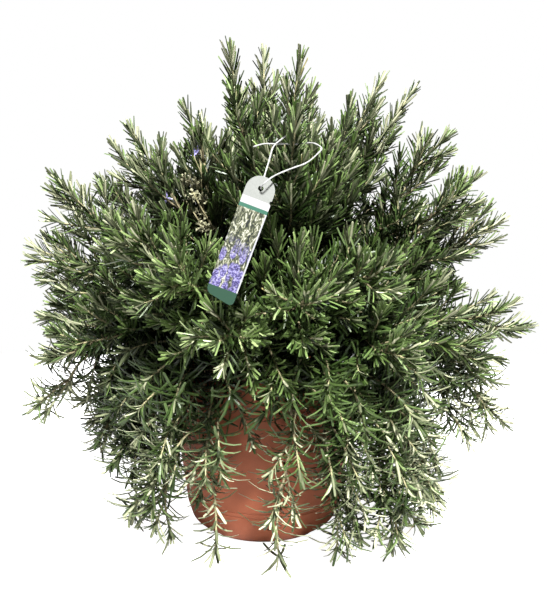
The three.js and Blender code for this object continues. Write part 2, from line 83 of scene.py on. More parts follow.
TRAILING_TIPS = [
    (-266, -60, 118), (-220, 20, 65), (-152, -78, 12), (-102, -125, 14), (-52, -148, 10),
    (20, -166, 10), (74, -150, 10), (140, -135, 10), (181, -80, 12), (251, -40, 92), (298, 0, 90),
    (200, 110, 20), (80, 200, 16), (-60, 210, 25), (-190, 130, 20),
]
# limb is a limb's length, and swing how far a branch keeps its first and its last direction, as a share.
KINDS = {
    "upright": Values(tips=UPRIGHT_TIPS, limbs=4, rise=62, limb=70, first=30, swing=0.34, wood=0.3),
    "arching": Values(tips=ARCHING_TIPS, limbs=8, rise=32, limb=78, first=10, swing=0.36, wood=0.26),
    "trailing": Values(tips=TRAILING_TIPS, limbs=6, rise=24, limb=64, first=0, swing=0.4, wood=0.28),
}
# How each kind is dressed. pair is the space between pairs of leaves, which stand from the stem at the
# angles base and tip. reflex curves a leaf back and lift up, as shares of its length. span is where the side
# shoots grow, and reach the most of the branch's remaining length that one has, both as shares. bend turns
# them up, in radians for each 100 mm. beyond and trim lengthen and shorten the stem, and sway swings it.
# fresh and youth are the share of new growth, and pale is the least tone of a leaf.
PLAIN = dict(sway=0, trim=0, fresh=0.0, pale=0, youth=1)
STYLES = {
    "upright": dict(
        pair=2.7, base=40, tip=16, leaf=24, width=3.1, reflex=0.02, lift=0.05, beyond=9,
        shoots=15, span=(0.12, 0.8), longest=116, shortest=55, reach=0.74, shoot_angle=(40, 24), bend=0.45),
    "arching": dict(
        pair=3.2, base=50, tip=22, leaf=24, width=3.0, reflex=0.06, lift=0.1, beyond=0, sway=3,
        shoots=21, span=(0.06, 0.86), longest=110, shortest=50, reach=0.85, shoot_angle=(58, 32), bend=0.3),
    "trailing": dict(
        pair=3.7, base=54, tip=30, leaf=27, width=3.3, reflex=0.48, lift=0.16, beyond=3, sway=5, pale=0.12,
        shoots=20, span=(0.06, 0.9), longest=105, shortest=45, reach=0.9, shoot_angle=(62, 36), bend=-0.75,
        youth=0.5),
}
OWN = {  # what single branches have of their own, by number
    18: dict(trim=24),
    26: dict(fresh=0.5),
    27: dict(fresh=0.35),
    36: dict(shoots=13, longest=80, trim=14),
    37: dict(shoots=38, longest=94, pale=0, youth=0.3),
    38: dict(shoots=42, longest=94, span=(0.04, 0.72), pale=0, youth=0.3),
    39: dict(shoots=24, leaf=28),
    40: dict(shoots=17, pair=4.4, span=(0.06, 0.72)),
    41: dict(shoots=12, pair=4.4, longest=75, shortest=38, span=(0.06, 0.8)),
    42: dict(shoots=26, longest=120),
    43: dict(shoots=38, longest=130),
    44: dict(shoots=32, longest=78),
    45: dict(shoots=20, longest=85),
    46: dict(trim=8),
}
TAG = Values(top=(5, -232, 400), bottom=(-33, -250, 299), width=25, thickness=0.8, hole=2.4, hole_down=10.5,
             slant=5, corner=5.5)
TAG_STEP = [(0, 17.5), (1.6, 18.6), (1.6, 19.8), (0, 21.5)]  # how far in from its right edge, and down
TAG_PRINT = Values(band=0.185, line=0.245, picture=0.275, flowers=0.58, end=0.915)  # where they start
TAG_BORDER = 0.91  # where the white border on the right starts, as a share of half the width
STRING_DIAMETER = 1.5
STRING_ROUTE = [
    (-6, -196, 430), (3, -193, 433), (13, -189.5, 433.5), (21.5, -180, 435), (27.4, -173.5, 435.8),
    (33.4, -172.4, 435.8), (41, -175, 436.5), (49, -183, 435), (55, -195, 429), (51, -205, 423),
    (41, -215, 414), (26, -227.5, 407), (12, -237.5, 400), (4.4, -240.5, 394), (1.9, -237.2, 391.7),
    (1.5, -230.2, 390.6), (2, -226, 392.5), (4, -221, 401), (8, -208, 416), (12.4, -192.6, 431.4),
    (18, -188, 437), (23, -186, 441),
]
STRING_IN_SIGHT = [(0, 2.5), (8.5, 21)]  # its stretches that no leaf hides, counted in points of the route
BLOSSOMS = [(2, 0.76), (0, 0.5)]  # the branch, and how far up its leafy part
SPENT = Values(branch=2, low=0.14, high=0.5, turns=(0.5, -0.4, 0.3, -0.2), middle=22)
STRING_CLEAR, FLOWERS_CLEAR = (1.6, 45), (9, 120)  # how far beside and before them no leaf may be


# ---- Vectors and curves ----
def unit(v):
    v = np.asarray(v, float)
    return v / np.linalg.norm(v, axis=-1, keepdims=True)


def polar(azimuth, rise_degrees):
    rise = math.radians(rise_degrees)
    flat = math.cos(rise)
    return np.array([flat * math.cos(azimuth), flat * math.sin(azimuth), math.sin(rise)])


def turns_of(count):
    return np.arange(count) * CIRCLE / count


def bezier(control, t):
    """Points of a Bezier curve of any degree at the shares t."""
    t = np.atleast_1d(t)[:, None]
    n = len(control) - 1
    weights = [math.comb(n, i) * (1 - t) ** (n - i) * t ** i for i in range(n + 1)]
    return sum(weight * np.asarray(point, float) for weight, point in zip(weights, control))


def lengths_along(points):
    return np.concatenate([[0], np.cumsum(np.linalg.norm(np.diff(points, axis=0), axis=1))])


def at_lengths(points, values, places):
    """Values that belong to the points of a line, at places along it."""
    along = lengths_along(points)
    return np.stack([np.interp(places, along, column) for column in values.T], axis=1)


def resampled(points, spacing):
    """The same line with equal steps of about the spacing."""
    total = lengths_along(points)[-1]
    return at_lengths(points, points, np.linspace(0, total, max(2, int(round(total / spacing)) + 1)))


def tangents_of(points):
    return unit(np.gradient(points, axis=0))


def transported(tangents):
    """Two directions square to each tangent that turn as little as possible along the line."""
    helper = np.array([1.0, 0, 0]) if abs(tangents[0][2]) > 0.9 else UP
    across = [unit(np.cross(tangents[0], helper))]
    for tangent in tangents[1:]:
        across.append(unit(across[-1] - tangent * (across[-1] @ tangent)))
    across = np.array(across)
    return across, np.cross(tangents, across)


def square_to(axis):
    return (directions[0] for directions in transported(axis[None]))


def stem_frame(tangents, side):
    across = unit(side - tangents * (tangents @ side)[:, None])
    return across, np.cross(across, tangents)


def catmull_rom(points, per_step=8):
    """A centripetal Catmull-Rom curve through the points."""
    points = np.asarray(points, float)
    padded = np.vstack([2 * points[0] - points[1], points, 2 * points[-1] - points[-2]])
    curve = []
    for p in zip(padded, padded[1:], padded[2:], padded[3:]):
        k = np.cumsum([0] + [math.sqrt(np.linalg.norm(b - a)) for a, b in zip(p, p[1:])])
        for t in np.linspace(k[1], k[2], per_step, endpoint=False):
            level = p
            for low, high in (((0, 1, 2), (1, 2, 3)), ((0, 1), (2, 3)), ((1,), (2,))):
                level = [((k[j] - t) * a + (t - k[i]) * b) / (k[j] - k[i])
                         for i, j, a, b in zip(low, high, level, level[1:])]
            curve += level
    return np.array(curve + [points[-1]])


def rounded(corner, before, after, reach, steps=4):
    """Points of a rounded corner between two neighbours."""
    corner, before, after = (np.asarray(p, float) for p in (corner, before, after))
    a = corner + unit(before - corner) * reach
    b = corner + unit(after - corner) * reach
    return [tuple(p) for p in bezier([a, corner, b], np.linspace(0, 1, steps))]


# ---- How the bush grows ----
def limbs_of(kind):
    k = KINDS[kind]
    found = []
    for i in range(k.limbs):
        azimuth = math.radians(k.first + i * 360 / k.limbs)
        out = polar(azimuth, k.rise)
        crown = UP * (CROWN_Z - LIMB_SINK) + polar(azimuth, 0) * TRUNK.radius * 0.3
        fork = UP * CROWN_Z + out * k.limb
        bend = (crown + fork) / 2 + UP * LIMB_ARCH
        found.append(Values(azimuth=azimuth, out=out, fork=fork, control=[crown, bend, fork]))
    return found


def tip_direction(kind, tip, azimuth):
    """Upright tips lean out the further out they are, low arching ones droop, and trailing ones hang."""
    if kind == "upright":
        return polar(azimuth, 82 - 0.14 * math.hypot(tip[0], tip[1]))
    if kind == "arching":
        return polar(azimuth, min(48, max(-22, (tip[2] - 250) * 0.24)))
    return polar(azimuth, -86 if tip[2] < FLOOR_TIP else -66)


def branch_of(kind, tip, limbs, number):
    k = KINDS[kind]
    azimuth = math.atan2(tip[1], tip[0])
    limb = max(limbs, key=lambda each: math.cos(each.azimuth - azimuth))
    fork, out = limb.fork, tip_direction(kind, tip, azimuth)
    end = np.asarray(tip, float) - out * TUFT_REACH
    reach = float(np.linalg.norm(end - fork))
    start = polar(azimuth, 21) if kind == "trailing" else unit(limb.out * 0.6 + unit(end - fork))
    control = [fork, fork + start * k.swing * reach, end - out * k.swing * reach, end]
    side = polar(azimuth + math.pi / 2, 0)
    style = Values(**{**PLAIN, **STYLES[kind], **OWN.get(number, {})})
    return Values(name=f"{kind}_{number:02d}", control=control, wood=k.wood, side=side, style=style)


def stem_points(branch, shares):
    """Points of a branch's stem, which sways a little about its curve past its wood."""
    line = bezier(branch.control, shares)
    across, over = stem_frame(tangents_of(line), branch.side)
    shares = np.asarray(shares)[:, None]
    size = branch.style.sway * np.clip((shares - branch.wood) / 0.2, 0, 1)
    phase = branch.control[3][0] / 20
    waves = across * np.sin(shares * 11 + phase) + over * 0.6 * np.sin(shares * 17 + 2 * phase)
    return line + size * waves


LIMBS = {kind: limbs_of(kind) for kind in KINDS}
BRANCHES = []
for kind in KINDS:
    for tip in KINDS[kind].tips:
        BRANCHES.append(branch_of(kind, tip, LIMBS[kind], len(BRANCHES) + 1))


# ---- What the shoots and leaves keep clear of ----
BAND_FOOT = POT.height - POT.band
SOIL_PEAK = SOIL.top + SOIL.mound
WELL_INSIDE = 70  # points nearer to the pot's axis are never taken for points in its wall


def wall_radius(z):
    """The pot's outside at a height, below its rim band."""
    widening = POT.rim - POT.step - POT.body
    return POT.body + widening * (z - POT.foot) / (BAND_FOOT - POT.foot)


def pushed_clear(points, margin):
    """Moves points out of the pot and up from the floor."""
    points = points.copy()
    points[:, 2] = np.maximum(points[:, 2], margin)
    x, y, z = points.T
    radius = np.hypot(x, y)
    least = np.where(z > BAND_FOOT - 2, POT.rim, wall_radius(np.maximum(z, POT.foot))) + margin
    beside = (z < POT.height + margin) & (radius < least) & (radius > WELL_INSIDE)
    over = beside & (z > POT.height - 6)
    points[over, 2] = POT.height + margin
    out = beside & ~over
    points[out, :2] *= (least[out] / radius[out])[:, None]
    low = (radius < POT.rim) & (z < SOIL_PEAK + margin)
    points[low, 2] = SOIL_PEAK + margin
    return points


TAG_TOP, TAG_BOTTOM = np.array(TAG.top, float), np.array(TAG.bottom, float)
TAG_LENGTH = float(np.linalg.norm(TAG_TOP - TAG_BOTTOM))
TAG_UP = (TAG_TOP - TAG_BOTTOM) / TAG_LENGTH
TAG_ACROSS = unit(np.array([TAG_UP[2], 0, -TAG_UP[0]]))
TAG_FACE = np.cross(TAG_ACROSS, TAG_UP)
TAG_MARGIN = 1.5
TAG_COVERED = 25  # the part of its lower end that leaves may hide


def before_tag(points):
    """Whether points lie on the tag or between it and the viewer."""
    ray = points - CAMERA
    depth = ((TAG_TOP - CAMERA) @ TAG_FACE) / (ray @ TAG_FACE)
    hit = CAMERA + ray * depth[:, None] - TAG_TOP
    side, down = hit @ TAG_ACROSS, -(hit @ TAG_UP)
    inside = (np.abs(side) < TAG.width / 2 + TAG_MARGIN) & (down > -2) & (down < TAG_LENGTH - TAG_COVERED)
    return inside & (depth > 0.985) & (depth < 1.6)


def before_places(points, places, around, reach):
    """Whether points lie on some places or between them and the viewer, up to a reach."""
    near = np.zeros(len(points), bool)
    for place in places:
        sight = unit(CAMERA - place)
        off = points - place
        ahead = off @ sight
        aside = np.linalg.norm(off - ahead[:, None] * sight, axis=1)
        near |= (aside < around) & (ahead > -3) & (ahead < reach)
    return near


# ---- Mesh building ----
BLADE_RINGS = [(0.04, 0.65), (0.3, 1.0), (0.7, 1.0), (0.965, 0.8)]  # shares of its length and width
BLADE_SECTION = [(-1.0, -0.2), (0.0, 0.46), (1.0, -0.2), (0.0, -0.36)]  # across, and up from the blade
BLADE_STOPS = [0.0] + [along for along, _ in BLADE_RINGS] + [1.0]
BLADE_SAMPLES = [4, 9, 14, 17]  # vertices by which a blade is taken to hide something
BLADES_TO, TUBES_FROM = 0.89, 0.9  # the parts of a texture map that they fill, from its bottom
CELL_MARGIN = 0.06  # round each blade in its cell of the map, as a share of the cell


def ring_faces(rings, sides):
    """Faces between rings of vertices, and from the outer rings to the two vertices that follow them all."""
    around = [(k, (k + 1) % sides) for k in range(sides)]
    last, end = (rings - 1) * sides, rings * sides
    faces = [[i + a, i + b, i + b + sides, i + a + sides] for i in range(0, last, sides) for a, b in around]
    for a, b in around:
        faces += [[b, a, end], [last + a, last + b, end + 1]]
    return faces


def blade_template():
    """Vertices as (across, up, along), faces, which are the underside, and their corners' map places."""
    sides, rings = len(BLADE_SECTION), len(BLADE_RINGS)
    verts = [(a * width, b * width, along) for along, width in BLADE_RINGS for a, b in BLADE_SECTION]
    walls = [(k, row) for row in range(1, rings) for k in range(sides)]
    under = [k >= 2 for k, _ in walls]
    corners = [[(k, row), (k + 1, row), (k + 1, row + 1), (k, row + 1)] for k, row in walls]
    for k in range(sides):
        under += [k >= 2] * 2
        corners += [[(k + 1, 1), (k, 1), (k + 0.5, 0)], [(k, rings), (k + 1, rings), (k + 0.5, rings + 1)]]
    inset = 1 - 2 * CELL_MARGIN
    corners = [[(CELL_MARGIN + inset * k / sides, CELL_MARGIN + inset * BLADE_STOPS[row]) for k, row in face]
               for face in corners]
    return np.array(verts + [(0, 0, 0.0), (0, 0, 1.0)]), ring_faces(rings, sides), under, corners


BLADE, BLADE_FACES, BLADE_UNDER, BLADE_CORNERS = blade_template()


def blade_vertices(root, direction, tangent, length, width, twist, reflex, lift, cup=1.0):
    """The vertices of many blades. Each one's upper side looks towards its stem's tip."""
    across = unit(np.cross(tangent, direction))
    up = np.cross(direction, across)
    turn = twist[:, None]
    across, up = across * np.cos(turn) + up * np.sin(turn), up * np.cos(turn) - across * np.sin(turn)
    a, b, along = BLADE.T
    curve = -up * reflex[:, None] + UP * lift[:, None]
    return (root[:, None]
            + direction[:, None] * (along * length[:, None])[..., None]
            + across[:, None] * (a * width[:, None] / 2)[..., None]
            + up[:, None] * (b * cup * width[:, None] / 2)[..., None]
            + curve[:, None] * (along ** 2 * length[:, None])[..., None])


class Builder:
    """Gathers tubes and blades into one mesh, with their colour values and their places in its texture map.
    The values are tone, youth, share of the length and, on a blade, nearness to its edge."""

    def __init__(self):
        self.verts, self.faces, self.material, self.under = [], [], [], []
        self.values, self.uvs, self.count = [], [], 0

    def add(self, verts, faces, material, under, values, uvs):
        self.verts.append(verts)
        self.faces += [[i + self.count for i in face] for face in faces]
        self.material += [material] * len(faces)
        self.under += under
        self.values.append(values)
        self.uvs += uvs
        self.count += len(verts)

    def tube(self, points, radii, sides, material, strip=(0, 0, 1, 1), tone=0.5):
        """A closed tube. The strip is its place in the texture map: left, bottom, width and height."""
        n = len(points)
        tangents = tangents_of(points)
        across, over = transported(tangents)
        turns = turns_of(sides)
        ring = np.cos(turns)[None, :, None] * across[:, None] + np.sin(turns)[None, :, None] * over[:, None]
        verts = (points[:, None] + ring * np.reshape(radii, (n, -1, 1))).reshape(-1, 3)
        verts = np.vstack([verts, points[0], points[-1] + tangents[-1] * np.mean(radii[-1])])
        faces = ring_faces(n, sides)
        uvs = [(k + a, i + b) for i in range(n - 1) for k in range(sides)
               for a, b in ((0, 0), (1, 0), (1, 1), (0, 1))]
        for k in range(sides):
            for row in (0, n - 0.7):
                uvs += [(k, row), (k + 1, row), (k + 0.5, row + 0.6)]
        left, bottom, width, height = strip
        uvs = [(left + width * k / sides, bottom + height * row / n) for k, row in uvs]
        along = np.concatenate([np.repeat(np.linspace(0, 1, n), sides), [0, 1]])
        ones = np.ones(len(verts))
        values = np.stack([ones * tone, ones * 0, along, ones], axis=1)
        self.add(verts, faces, material, [False] * len(faces), values, uvs)

    def blades(self, verts, tone, young, material=0):
        """Every blade gets a cell of its own in the texture map."""
        n, per = verts.shape[:2]
        columns = max(1, int(math.sqrt(n * 0.5)))
        height = BLADES_TO / math.ceil(n / columns)
        faces, uvs = [], []
        for i in range(n):
            x, y = (i % columns) / columns, (i // columns) * height
            for face, corners in zip(BLADE_FACES, BLADE_CORNERS):
                faces.append([v + i * per for v in face])
                uvs += [(x + across / columns, y + up * height) for across, up in corners]
        edge = np.abs(BLADE[:, 0]) > 0.1
        values = np.stack([np.repeat(tone, per), np.repeat(young, per),
                           np.tile(BLADE[:, 2], n), np.tile(edge, n)], axis=1)
        self.add(verts.reshape(-1, 3), faces, material, list(BLADE_UNDER) * n, values, uvs)

    def piece(self, name, materials, smooth=(), mapped=True):
        """The piece. With few faces it needs no texture map of its own."""
        mesh = bpy.data.meshes.new(name)
        mesh.from_pydata((np.vstack(self.verts) * MM).tolist(), [], self.faces)
        mesh.polygons.foreach_set("material_index", self.material)
        mesh.polygons.foreach_set("use_smooth", [m in smooth for m in self.material])
        colours = mesh.attributes.new("growth", "FLOAT_COLOR", "POINT")
        colours.data.foreach_set("color", np.vstack(self.values).ravel())
        under = mesh.attributes.new("under", "FLOAT", "FACE")
        under.data.foreach_set("value", np.array(self.under, float))
        if mapped:
            uv = mesh.uv_layers.new(name="OFBake")
            uv.data.foreach_set("uv", np.array(self.uvs, float).ravel())
        return finished(name, mesh, materials)


def in_scene(name, data):
    thing = bpy.data.objects.new(name, data)
    bpy.context.scene.collection.objects.link(thing)
    return thing


def finished(name, mesh, materials):
    for material in materials:
        mesh.materials.append(material)
    mesh.validate()
    mesh.update()
    return in_scene(name, mesh)


def settle(piece, slot, *nodes):
    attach(piece, "root")
    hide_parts(*nodes)


# ---- Materials ----
class Nodes:
    """The nodes of a material or a world, with short ways to make the usual ones."""

    def __init__(self, owner):
        owner.use_nodes = True
        self.owner, self.nodes, self.links = owner, owner.node_tree.nodes, owner.node_tree.links

    def feed(self, node, inputs):
        """Gives inputs, by name or number, a number, a vector, a colour (a tuple) or a link."""
        for key, value in inputs.items():
            if isinstance(value, bpy.types.NodeSocket):
                self.links.new(value, node.inputs[key])
            else:
                node.inputs[key].default_value = (*value, 1) if isinstance(value, tuple) else value

    def node(self, kind, inputs=(), **settings):
        node = self.nodes.new("ShaderNode" + kind)
        for key, value in settings.items():
            setattr(node, key, value)
        self.feed(node, dict(inputs))
        return node

    def place(self):
        return self.node("TexCoord").outputs["Object"]

    def camera_ray(self):
        return self.node("LightPath").outputs["Is Camera Ray"]

    def noise(self, scale, detail=4, rough=0.6, vector=None, distortion=0):
        inputs = {"Scale": scale, "Detail": detail, "Roughness": rough, "Distortion": distortion}
        return self.node("TexNoise", {**inputs, "Vector": vector or self.place()}).outputs["Fac"]

    def ramp(self, factor, *stops):
        node = self.node("ValToRGB", {"Fac": factor})
        elements = node.color_ramp.elements
        while len(elements) < len(stops):
            elements.new(0.5)
        for element, (position, colour) in zip(elements, stops):
            element.position = position
            element.color = (*colour, 1) if isinstance(colour, tuple) else (colour, colour, colour, 1)
        return node.outputs["Color"]

    def mix(self, factor, first, second, blend="MIX"):
        """A mix of two colours. The numbers are those of the sockets that the node has for colours."""
        inputs = {0: factor, 6: first, 7: second}
        return self.node("Mix", inputs, data_type="RGBA", blend_type=blend).outputs[2]

    def maths(self, operation, *values, clamp=False):
        return self.node("Math", enumerate(values), operation=operation, use_clamp=clamp).outputs[0]


class Surface(Nodes):
    def __init__(self, name, roughness, specular=0.5, sheen=0.0):
        super().__init__(bpy.data.materials.new(name))
        self.shader = self.nodes["Principled BSDF"]
        finish = {"Roughness": roughness, "Specular IOR Level": specular, "Sheen Weight": sheen}
        self.feed(self.shader, finish)

    def bump(self, height, strength, distance):
        node = self.node("Bump", {"Strength": strength, "Distance": distance, "Height": height})
        self.feed(self.shader, {"Normal": node.outputs["Normal"]})

    def growth(self):
        """A Builder's values: tone, youth, share of the length, and nearness to the edge."""
        node = self.node("Attribute", attribute_name="growth")
        split = self.node("SeparateColor", {"Color": node.outputs["Color"]})
        return (*split.outputs[:3], node.outputs["Alpha"])

    def colour(self, value):
        self.feed(self.shader, {"Base Color": value})
        return self.owner


def leaf_material():
    """Green above and felted below, where only the midrib and a pale band show between the rolled edges."""
    s = Surface("rosemary_leaf", 0.4, 0.19)
    tone, young, along, edge = s.growth()
    under = s.node("Attribute", attribute_name="under").outputs["Fac"]
    # The tone sets all these colours: each leaf's own random tone, and painted shade that darkens leaves
    # deep inside the bush
    top = s.ramp(tone, (0.0, (0.003, 0.007, 0.001)), (0.35, (0.014, 0.031, 0.006)),
                 (0.75, (0.062, 0.104, 0.03)), (0.988, (0.22, 0.285, 0.142)), (0.992, (0.3, 0.13, 0.045)))
    fresh = s.ramp(tone, (0.0, (0.045, 0.08, 0.016)), (0.5, (0.158, 0.22, 0.074)),
                   (1.0, (0.4, 0.47, 0.22)))
    top = s.mix(s.maths("MULTIPLY", young, 0.8), top, fresh)
    patches = s.maths("MULTIPLY", s.ramp(s.noise(13, 3), (0.42, 0.0), (0.62, 0.4)), tone)
    top = s.mix(patches, top, (0.14, 0.23, 0.055))
    fine = s.noise(800, 3)
    top = s.mix(0.35, top, s.ramp(fine, (0.3, 0.2), (0.7, 1.0)), "MULTIPLY")
    felt = s.ramp(tone, (0.0, (0.022, 0.032, 0.01)), (0.4, (0.18, 0.19, 0.11)), (1.0, (0.64, 0.62, 0.44)))
    rolled = s.ramp(tone, (0.0, (0.005, 0.012, 0.002)), (1.0, (0.055, 0.092, 0.028)))
    colour = s.mix(under, top, s.mix(s.maths("MULTIPLY", edge, 0.75), felt, rolled))
    pale_root = s.ramp(along, (0.0, 0.45), (0.16, 0.0))
    colour = s.mix(s.maths("MULTIPLY", pale_root, tone), colour, (0.3, 0.36, 0.15))
    s.feed(s.shader, {"Roughness": s.maths("MULTIPLY_ADD", under, 0.34, 0.33)})
    s.bump(fine, 0.25, 0.0003)
    return s.colour(colour)


def stem_material():
    s = Surface("young_stem", 0.7, 0.3)
    streaks = s.noise(260)
    wood = s.ramp(streaks, (0.3, (0.07, 0.05, 0.03)), (0.7, (0.19, 0.15, 0.09)))
    green = s.ramp(streaks, (0.3, (0.15, 0.14, 0.065)), (0.7, (0.35, 0.32, 0.18)))
    _, _, along, _ = s.growth()
    s.bump(streaks, 0.4, 0.0006)
    return s.colour(s.mix(along, wood, green))


def bark_material():
    s = Surface("bark", 0.9, 0.2)
    coarse, fine = s.noise(90, 6, 0.7), s.noise(420)
    colour = s.ramp(coarse, (0.3, (0.062, 0.04, 0.026)), (0.5, (0.165, 0.114, 0.073)),
                    (0.7, (0.352, 0.275, 0.187)))
    colour = s.mix(0.4, colour, s.ramp(fine, (0.3, 0.4), (0.7, 1.0)), "MULTIPLY")
    s.bump(coarse, 0.8, 0.0015)
    return s.colour(colour)


def pot_material():
    s = Surface("terracotta_plastic", 0.5, 0.25)
    grain, cloud, stain = s.noise(1400, 3), s.noise(18, 5), s.noise(55, 6, 0.7)
    colour = s.ramp(cloud, (0.3, (0.235, 0.065, 0.03)), (0.7, (0.29, 0.086, 0.04)))
    colour = s.mix(0.5, colour, s.ramp(grain, (0.35, 0.72), (0.65, 1.0)), "MULTIPLY")
    dust = s.maths("MULTIPLY", s.ramp(stain, (0.55, 0.0), (0.75, 1.0)), 0.18)
    colour = s.mix(dust, colour, (0.31, 0.17, 0.11))
    s.feed(s.shader, {"Roughness": s.maths("MULTIPLY_ADD", grain, 0.25, 0.55)})
    s.bump(grain, 0.35, 0.0004)
    return s.colour(colour)


def soil_material():
    s = Surface("potting_soil", 0.95, 0.2)
    crumbs, fine = s.noise(170, 8, 0.8), s.noise(900)
    colour = s.ramp(crumbs, (0.3, (0.018, 0.011, 0.007)), (0.5, (0.066, 0.04, 0.024)),
                    (0.66, (0.165, 0.106, 0.066)), (0.74, (0.572, 0.462, 0.352)))
    s.bump(fine, 0.9, 0.002)
    return s.colour(colour)


def string_material():
    s = Surface("white_string", 0.75, 0.3, sheen=0.25)
    fibres = s.noise(1800, 3)
    s.bump(fibres, 0.4, 0.0003)
    return s.colour(s.ramp(fibres, (0.3, (0.17, 0.17, 0.165)), (0.7, (0.3, 0.3, 0.29))))


def tag_coordinate(s, axis, scale):
    """The distance from the tag's top along an axis, over the scale in mm."""
    offset = s.node("VectorMath", {0: s.place(), 1: TAG_TOP * MM}, operation="SUBTRACT").outputs["Vector"]
    dot = s.node("VectorMath", {0: offset, 1: axis / (scale * MM)}, operation="DOT_PRODUCT")
    return dot.outputs["Value"]


def tag_mottle(s, down):
    """A plain mottle of green and white that turns violet lower down."""
    plane = {"X": tag_coordinate(s, TAG_ACROSS, 0.5), "Y": tag_coordinate(s, -TAG_UP, 1.1)}
    flat = s.node("CombineXYZ", plane).outputs["Vector"]
    streaks = s.noise(0.15, 3, vector=flat, distortion=1.8)
    cells = s.node("TexVoronoi", {"Scale": 0.1, "Vector": flat}).outputs["Distance"]
    cloth, blotch = s.noise(230, 4, 0.7), s.noise(620, 4, 0.75)
    sprigs = s.ramp(streaks, (0.38, (0.002, 0.003, 0.002)), (0.46, (0.018, 0.023, 0.009)),
                    (0.54, (0.075, 0.078, 0.044)), (0.6, (0.24, 0.24, 0.2)))
    violet = s.ramp(blotch, (0.4, (0.008, 0.006, 0.022)), (0.5, (0.046, 0.038, 0.13)),
                    (0.6, (0.17, 0.16, 0.25)))
    flower = s.ramp(cells, (0.1, 0.0), (0.18, 1.0), (0.5, 1.0), (0.66, 0.0))
    lower = s.maths("SUBTRACT", down, TAG_PRINT.flowers)
    share = s.maths("MULTIPLY_ADD", lower, 6.0, cloth, clamp=True)
    return s.mix(s.maths("MULTIPLY", share, flower), sprigs, violet)


def tag_material():
    """Bare grey plastic, a white band, a green line, a mottle with a white border, and a green end."""
    s = Surface("printed_tag", 0.55, 0.2)

    def beyond(value, edge, soft=0.002):
        return s.maths("MULTIPLY_ADD", s.maths("SUBTRACT", value, edge), 1 / soft, 0.5, clamp=True)

    down, aside = tag_coordinate(s, -TAG_UP, TAG_LENGTH), tag_coordinate(s, TAG_ACROSS, TAG.width / 2)
    grain = s.noise(900, 2)
    plastic = s.ramp(grain, (0.3, (0.125, 0.13, 0.12)), (0.7, (0.145, 0.15, 0.14)))
    colour = s.mix(beyond(aside, TAG_BORDER, 0.04), tag_mottle(s, down), (0.2, 0.2, 0.21))
    colour = s.mix(beyond(down, TAG_PRINT.picture), (0.01, 0.055, 0.034), colour)
    colour = s.mix(beyond(down, TAG_PRINT.line), (0.215, 0.21, 0.215), colour)
    colour = s.mix(beyond(down, TAG_PRINT.band), plastic, colour)
    colour = s.mix(beyond(down, TAG_PRINT.end), colour, (0.006, 0.026, 0.014))
    colour = s.mix(beyond(tag_coordinate(s, TAG_FACE, 1), 0.0), (0.24, 0.24, 0.23), colour)
    s.bump(grain, 0.15, 0.0002)
    return s.colour(colour)


def petal_material():
    s = Surface("blossom_petal", 0.6, 0.3)
    tone, _, along, _ = s.growth()
    colour = s.ramp(tone, (0.0, (0.286, 0.264, 0.616)), (1.0, (0.528, 0.484, 0.88)))
    colour = s.mix(s.ramp(s.noise(900, 2), (0.5, 0.0), (0.6, 0.5)), colour, (0.836, 0.814, 0.9))
    return s.colour(s.mix(s.ramp(along, (0.0, 0.8), (0.4, 0.0)), colour, (0.748, 0.748, 0.77)))


def spent_material():
    s = Surface("spent_flower", 0.85, 0.2)
    tone, _, _, _ = s.growth()
    colour = s.ramp(tone, (0.0, (0.2, 0.17, 0.1)), (0.5, (0.21, 0.205, 0.12)), (1.0, (0.32, 0.31, 0.2)))
    speckle = s.ramp(s.noise(1100, 3), (0.3, 0.55), (0.7, 1.0))
    return s.colour(s.mix(0.6, colour, speckle, "MULTIPLY"))


# ---- Tag and string ----
def string_piece(line):
    """A two-ply string: its section has two lobes that turn along it."""
    builder = Builder()
    sides, lay_length, lobe = 10, 4.2, 0.13
    phase = lengths_along(line)[:, None] * 2 * math.pi / lay_length
    radii = STRING_DIAMETER / 2 * (1 - lobe + lobe * np.cos(2 * (turns_of(sides)[None] - phase)))
    builder.tube(line, radii, sides, 0)
    piece = builder.piece("tag_string_twine", [string_material()], smooth=(0,), mapped=False)
    settle(piece, "string", "tag_string")


def tag_outline():
    """The tag's edge as (across, down): a round head, a small step at its right, and a slanted end."""
    half, slant, corner = TAG.width / 2, TAG.slant / 2, TAG.corner
    head = [(half * math.cos(a), half - half * math.sin(a)) for a in np.linspace(math.pi, 0.0, 25)]
    step = [(half - inwards, down) for inwards, down in TAG_STEP]
    right, left = (half, TAG_LENGTH + slant), (-half, TAG_LENGTH - slant)
    return head + step + rounded(right, step[-1], left, corner, 7) + rounded(left, right, head[0], corner, 7)


def tag_piece():
    hole = [(TAG.hole * math.cos(a), TAG.hole_down + TAG.hole * math.sin(a))
            for a in np.linspace(0, CIRCLE, 21)[:-1]]
    curve = bpy.data.curves.new("tag_outline", "CURVE")
    curve.dimensions = "2D"
    curve.fill_mode = "BOTH"
    curve.extrude = TAG.thickness * 0.36 * MM
    curve.bevel_depth = TAG.thickness * 0.14 * MM
    curve.bevel_resolution = 2
    for outline in (tag_outline(), hole):
        spline = curve.splines.new("POLY")
        spline.points.add(len(outline) - 1)
        for point, (across, down) in zip(spline.points, outline):
            point.co = (across * MM, -down * MM, 0, 1)
        spline.use_cyclic_u = True
    shape = in_scene("tag_outline", curve)
    mesh = bpy.data.meshes.new_from_object(shape.evaluated_get(bpy.context.evaluated_depsgraph_get()))
    bpy.data.objects.remove(shape)
    turn = Matrix(np.column_stack([TAG_ACROSS, TAG_UP, TAG_FACE]).tolist()).to_4x4()
    turn.translation = TAG_TOP * MM
    mesh.transform(turn)
    mesh.materials.clear()
    settle(finished("tag_plate", mesh, [tag_material()]), "tag_plastic", "tag")


